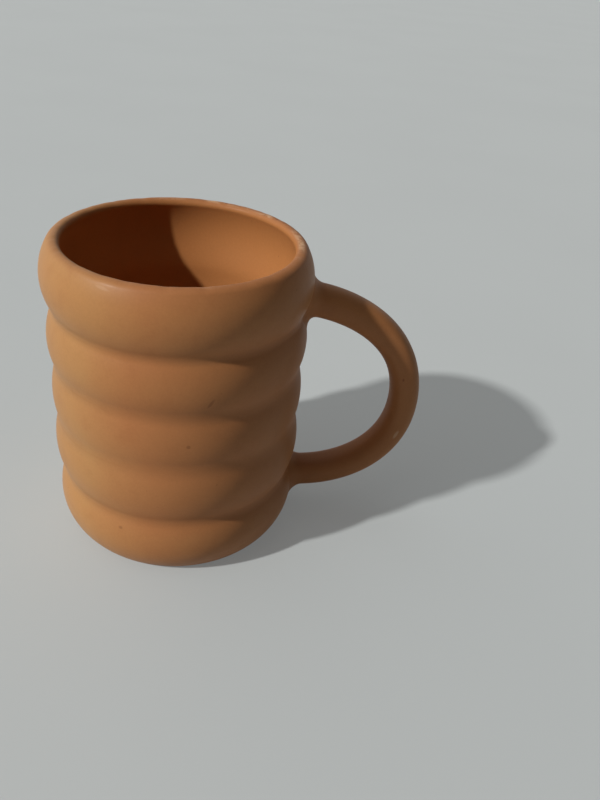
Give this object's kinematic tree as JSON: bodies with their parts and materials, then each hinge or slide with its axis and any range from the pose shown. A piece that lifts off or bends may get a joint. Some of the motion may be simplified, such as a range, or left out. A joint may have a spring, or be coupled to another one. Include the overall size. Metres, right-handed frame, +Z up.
{
  "type": "mug",
  "caption": "Unglazed clay mug with a wall of stacked rounded rings, a flat foot, a rounded lip and one looped handle.",
  "frame": {"origin": "centre of the flat underside, on the mug's axis", "axes": "+X towards the handle, +Y across the mug, +Z up along the mug's axis"},
  "size_m": [0.117, 0.078, 0.095],
  "materials": {
    "terracotta": "matt unglazed fired clay, lightly burnished",
    "slip": "matt fired slip, wiped smooth"
  },
  "bodies": {
    "root": {"base_disc": "terracotta", "base_joint_slip": "slip", "foot_ring": "terracotta", "foot_crease_slip": "slip", "lower_ring": "terracotta", "lower_crease_slip": "slip", "middle_ring": "terracotta", "middle_crease_slip": "slip", "upper_ring": "terracotta", "upper_crease_slip": "slip", "rim_ring": "terracotta", "handle": "terracotta", "upper_handle_slip": "slip", "lower_handle_slip": "slip"}
  },
  "joints": []
}
